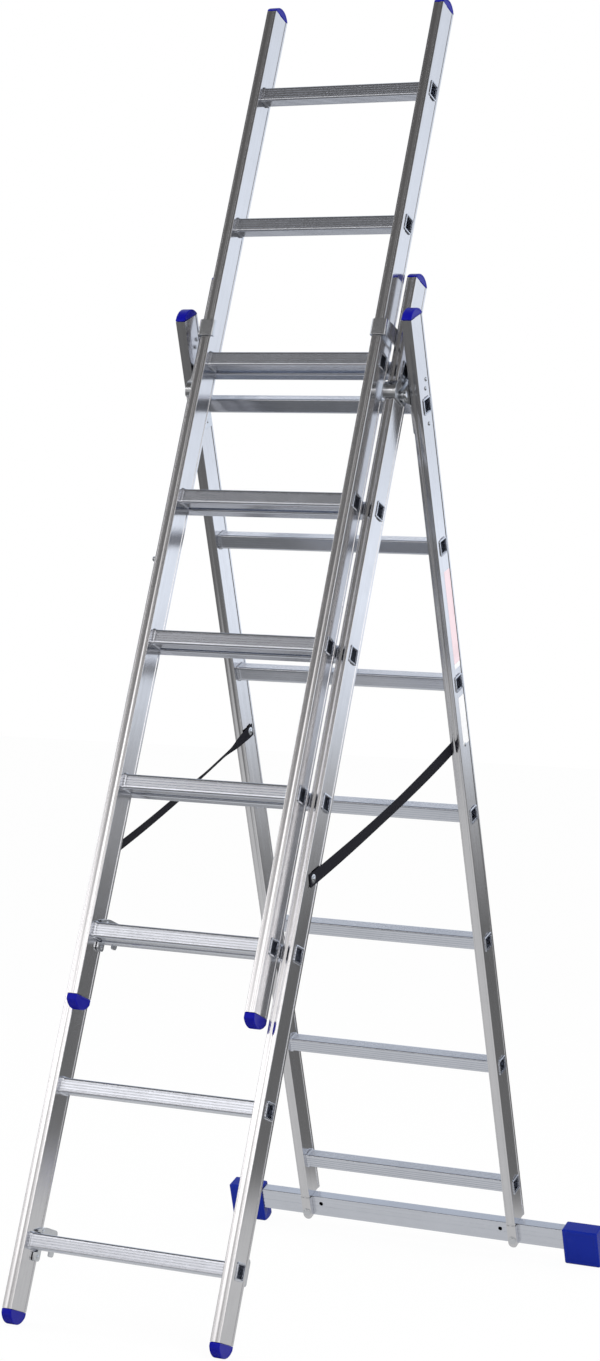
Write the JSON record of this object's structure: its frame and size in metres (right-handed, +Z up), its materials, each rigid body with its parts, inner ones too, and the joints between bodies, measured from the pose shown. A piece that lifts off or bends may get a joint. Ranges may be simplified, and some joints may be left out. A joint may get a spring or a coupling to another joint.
{
  "type": "combination extension ladder",
  "caption": "Aluminium combination ladder in A-frame stance: hinged rear leg with a wide stabiliser bar, and a narrower section that lifts above the front leg and hooks over its rungs.",
  "frame": {"origin": "on the floor, midway between the two stiles and midway between the foremost and the rearmost point", "axes": "+Z up, +X to the climber's right, +Y from the climbed front leg towards the hinged rear leg"},
  "size_m": [0.848, 1.3322, 2.4899],
  "materials": {
    "aluminium": "satin extruded",
    "galvanised_steel": "bright zinc plated",
    "blue_plastic": "satin moulded",
    "webbing": "woven"
  },
  "bodies": {
    "middle_section": {"guide_bracket_left": "galvanised_steel", "guide_bracket_right": "galvanised_steel", "hinge_bracket_left": "galvanised_steel", "hinge_bracket_right": "galvanised_steel", "hinge_pin_left": "galvanised_steel", "hinge_pin_right": "galvanised_steel", "middle_foot_left": "blue_plastic", "middle_foot_right": "blue_plastic", "middle_hook_left": "galvanised_steel", "middle_hook_right": "galvanised_steel", "middle_rung_1": "aluminium", "middle_rung_2": "aluminium", "middle_rung_3": "aluminium", "middle_rung_4": "aluminium", "middle_rung_5": "aluminium", "middle_rung_6": "aluminium", "middle_rung_7": "aluminium", "middle_stile_left": "aluminium", "middle_stile_right": "aluminium", "middle_top_cap_left": "blue_plastic", "middle_top_cap_right": "blue_plastic", "spread_strap_left": "webbing", "spread_strap_right": "webbing", "stop_peg": "galvanised_steel"},
    "upper_section": {"upper_foot_left": "blue_plastic", "upper_foot_right": "blue_plastic", "upper_hook_left": "galvanised_steel", "upper_hook_right": "galvanised_steel", "upper_rung_1": "aluminium", "upper_rung_2": "aluminium", "upper_rung_3": "aluminium", "upper_rung_4": "aluminium", "upper_rung_5": "aluminium", "upper_rung_6": "aluminium", "upper_rung_7": "aluminium", "upper_stile_left": "aluminium", "upper_stile_right": "aluminium", "upper_top_cap_left": "blue_plastic", "upper_top_cap_right": "blue_plastic"},
    "rear_section": {"rear_hinge_plate_left": "galvanised_steel", "rear_hinge_plate_right": "galvanised_steel", "rear_rung_1": "aluminium", "rear_rung_2": "aluminium", "rear_rung_3": "aluminium", "rear_rung_4": "aluminium", "rear_rung_5": "aluminium", "rear_rung_6": "aluminium", "rear_rung_7": "aluminium", "rear_stile_left": "aluminium", "rear_stile_right": "aluminium", "rear_top_cap_left": "blue_plastic", "rear_top_cap_right": "blue_plastic", "traverse_bar": "aluminium", "traverse_bolt_left": "galvanised_steel", "traverse_bolt_right": "galvanised_steel", "traverse_boot_left": "blue_plastic", "traverse_boot_right": "blue_plastic"}
  },
  "joints": [
    {"name": "upper_section_lift", "type": "slide", "parent": "middle_section", "child": "upper_section", "axis": [0, 0.2844, 0.9587], "range_m": [0, 0.235]},
    {"name": "rear_leg_fold", "type": "hinge", "parent": "middle_section", "child": "rear_section", "pos_m": [0, -0.1392, 1.7068], "axis": [1, 0, 0], "range_deg": [-40.15, 0], "deforming": ["spread_strap_left", "spread_strap_right"]}
  ]
}
